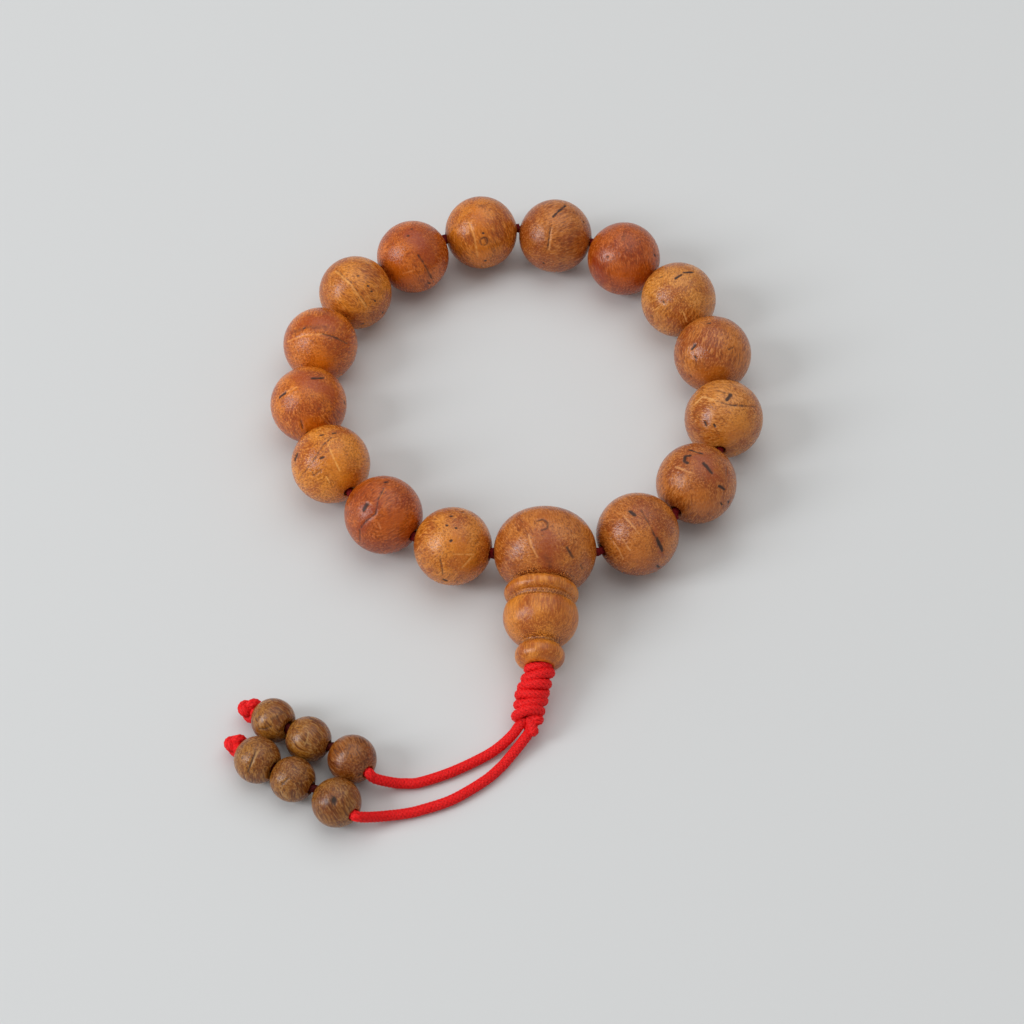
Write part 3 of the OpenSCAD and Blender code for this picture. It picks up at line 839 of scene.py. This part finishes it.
def smooth_path(points, step):
    """A Catmull-Rom curve through the points, with points a set distance apart."""
    p = np.asarray(points, float)
    p = np.vstack([2 * p[0] - p[1], p, 2 * p[-1] - p[-2]])
    t = np.linspace(0, 1, 24, endpoint=False)[:, None]
    pieces = []
    for a, b, c, d in zip(p[:-3], p[1:-2], p[2:-1], p[3:]):
        curve = 2 * b + (c - a) * t
        curve = curve + (2 * a - 5 * b + 4 * c - d) * t ** 2 + (3 * b - a - 3 * c + d) * t ** 3
        pieces.append(curve / 2)
    fine = np.vstack(pieces + [p[-2:-1]])
    reach = np.concatenate([[0], np.cumsum(np.linalg.norm(np.diff(fine, axis=0), axis=1))])
    at = np.linspace(0, reach[-1], max(3, int(round(reach[-1] / step))))
    return np.stack([np.interp(at, reach, fine[:, k]) for k in range(3)], 1)


def carried_frames(path):
    """Two directions across the path at each point, turned as little as possible along it."""
    heading = unit(np.gradient(path, axis=0))
    side = unit(np.cross(heading[0], (0.3, 0.2, 1)))
    sides = []
    for h in heading:
        side = unit(side - h * (side @ h))
        sides.append(side)
    sides = np.array(sides)
    return sides, np.cross(heading, sides)


def woven(u, v):
    """Height from 0 to 1 of a plain weave of two strand families, at strand coordinates u and v."""
    over = (np.floor(u) + np.floor(v)) % 2 == 0
    a = np.cos(np.pi * (u - np.floor(u) - 0.5))
    b = np.cos(np.pi * (v - np.floor(v) - 0.5))
    across, along = np.where(over, a, b), np.where(over, b, a)
    return np.sqrt(across) * (0.5 + 0.5 * along)


def braided(name, points, d, step, sides, thread, held=None):
    """A closed mesh of round braid along a path, in millimetres, with both of its ends rounded over. It is
    squeezed thinner, and in the shade, between the two held points."""
    path = smooth_path(points, step)
    squeeze = np.ones((len(path), 1))
    if held:
        first, last = (int(np.argmin(np.linalg.norm(path - point, axis=1))) for point in held)
        squeeze[first:last] = SQUEEZED
    side, top = carried_frames(path)
    reach = np.linspace(0, step * (len(path) - 1), len(path))[:, None]
    angle = np.linspace(0, 2 * np.pi, sides, endpoint=False)[None, :]
    u = STRANDS * angle / (2 * np.pi) + reach / STRAND_ADVANCE
    v = STRANDS * angle / (2 * np.pi) - reach / STRAND_ADVANCE
    crown = woven(u, v)
    radius = (d / 2 - STRAND_HEIGHT + STRAND_HEIGHT * crown) * squeeze
    for end in (reach, reach[::-1]):
        radius = radius * np.sqrt(np.clip(end / (d * 0.3), 0.03, 1))
    across = side[:, None] * np.cos(angle)[..., None] + top[:, None] * np.sin(angle)[..., None]
    grid = path[:, None] + across * radius[..., None]
    grid[..., 2] = np.maximum(grid[..., 2], 0.0)
    shade = (squeeze < 1) + 0 * u
    lay = np.stack([u, v, 0 * u], -1)
    obj = grid_object(name, grid, False, True, crown=crown, shade=shade, lay=lay)
    obj.data.materials.append(thread)
    return obj, path


foot = in_stupa(0, FOOT_END)


def from_foot(points):
    """Points given from the middle of the stupa's foot, with heights above the table."""
    return [np.array([foot[0] + x, foot[1] + y, z]) for x, y, z in points]


# The middle of the wrapped knot's turns, from the stupa's foot to where the tails leave it
WRAP_ROUTE = [in_stupa(0, FOOT_END - 0.9)] + from_foot([
    (-0.45, -2.05, 4.15), (-1.05, -4.05, 3.55), (-1.65, -6.1, 3), (-1.95, -7.6, 2.7),
])
WRAP_TURNS = 6.5
TAG = from_foot([(-1.3, -7.6, 3.1), (-1.1, -8.7, 2.9), (-0.8, -10.2, 2.4)])
FREE = {
    "upper": from_foot([
        (-3.07, -8.59, 2.35), (-3.87, -9.54, 1.85), (-5.73, -11.14, 1.15), (-8.02, -12.68, 0.87),
        (-12.58, -15.11, 0.87), (-17.11, -16.79, 0.87), (-19.38, -17.01, 0.97), (-20.51, -17.13, 1.3),
        (-22.75, -17.32, 2.6), (-23.85, -17.2, 3.4),
    ]),
    "lower": from_foot([
        (-1.52, -8.89, 1.95), (-2.29, -10.38, 1.75), (-4.58, -13.18, 1.05), (-5.72, -14.49, 0.9),
        (-8, -16.63, 0.87), (-12.52, -19.58, 0.87), (-17.02, -21.25, 0.87), (-19.27, -21.8, 0.9),
        (-21.51, -22.28, 1.25), (-23.73, -23.1, 2.45), (-25.4, -23.8, 3.9),
    ]),
}
KNOTS = {"upper": from_foot([(-41.75, -5.82, 2.35)])[0], "lower": from_foot([(-43.5, -11.5, 2.2)])[0]}
KNOT_LOBE = {"upper": 0.38, "lower": 0.33}


def through_beads(nodes):
    """Where a strand enters and leaves each bead on it."""
    points = []
    for node in nodes:
        centre, axis = spin_frame(node)
        half = turned_sizes(node, centre, axis)[1] / 2
        points += [centre - axis * half, centre + axis * half]
    return points


def end_knot(strand):
    """An overhand knot pulled tight, which lies with its three lobes in view, and its cut end."""
    at = KNOTS[strand]
    t = np.linspace(0.15, 2 * np.pi - 0.35, 60)
    loop = np.stack([np.sin(t) + 2 * np.sin(2 * t), np.cos(t) - 2 * np.cos(2 * t), -2.1 * np.sin(3 * t)], 1)
    loop = loop * KNOT_LOBE[strand]
    cut_end = [loop[-1] + (0.1, 0.3, -0.4), loop[-1] + (0.2, 0.4, -0.9)]
    points = np.vstack([loop, cut_end]) @ seen_from_camera(at) + at
    points[:, 2] = np.maximum(points[:, 2], 0.72)
    piece, _ = braided(f"{strand}_end_knot_braid", points, 1.65, 0.11, 36, red_thread)
    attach(piece, f"{strand}_tail")
    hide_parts(f"{strand}_end_knot")
    return piece


def tail(strand):
    route = FREE[strand] + through_beads(COUNTERS[strand]) + [KNOTS[strand]]
    inside = WRAP_ROUTE[-1] * 0.75 + WRAP_ROUTE[-2] * 0.25
    held = (spin_frame(f"{strand}_counter_1")[0], route[-2])
    piece, path = braided(f"{strand}_tail_braid", [inside] + route, CORD_D, 0.11, 40, red_thread, held)
    knot = end_knot(strand)
    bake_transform(piece)
    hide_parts(f"{strand}_tail_cord")


def wrapped_knot():
    """Slanted, slightly uneven turns of the same cord round both strands, and the short end left over."""
    axis_line = smooth_path(WRAP_ROUTE, 0.05)
    side, top = carried_frames(axis_line)
    t = np.linspace(0, 1, int(WRAP_TURNS * 26))
    angle = 2 * np.pi * WRAP_TURNS * t + 0.6
    slant = (0.5 * np.cos(angle + 0.5) + 0.16 * np.sin(1.7 * angle)) * np.clip(t * 5, 0, 1)
    spot = np.clip(t * (len(axis_line) - 1) + slant / 0.05, 0, len(axis_line) - 1)

    def pick(rows):
        return np.stack([np.interp(spot, range(len(rows)), rows[:, k]) for k in range(3)], 1)

    bulge = 0.12 * np.sin(32 * t) + 0.07 * np.sin(2.3 * angle)
    radius = (0.95 + 0.7 * np.clip(t * 4.5, 0, 1) + bulge * np.clip(t * 4, 0, 1))[:, None]
    outward = pick(side) * np.cos(angle)[:, None] + pick(top) * np.sin(angle)[:, None]
    turns = pick(axis_line) + outward * radius
    turns[:, 2] = np.maximum(turns[:, 2], CORD_D / 2)
    piece, _ = braided("wrap_knot_braid", np.vstack([turns, TAG]), 1.62, 0.12, 36, red_thread)
    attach(piece, "loop")
    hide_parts("wrap_knot")


def loop_strand():
    """The cord that the beads hold: up through the stupa and guru bead, round the loop and back."""
    def strand(hand):
        into_guru = guru_centre + (hand * 2.2, 0, 0)
        turning_in = stupa_from + stupa_side * hand * 1.05 + stupa_axis * 0.35
        return [into_guru, turning_in, in_stupa(hand, 2.2), in_stupa(hand, FOOT_END + 0.6)]

    half_guru = (guru_high[0] - guru_low[0]) / 2
    route = strand(1)[::-1] + [guru_centre + (half_guru, 0, 0)] + through_beads(MAIN_BEADS)
    route += [guru_centre - (half_guru, 0, 0)] + strand(-1)
    piece, _ = braided("loop_braid", route, 1.2, 0.2, 24, shaded_thread)
    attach(piece, "loop")
    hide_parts("loop_cord")


loop_strand()
wrapped_knot()
tail("upper")
tail("lower")
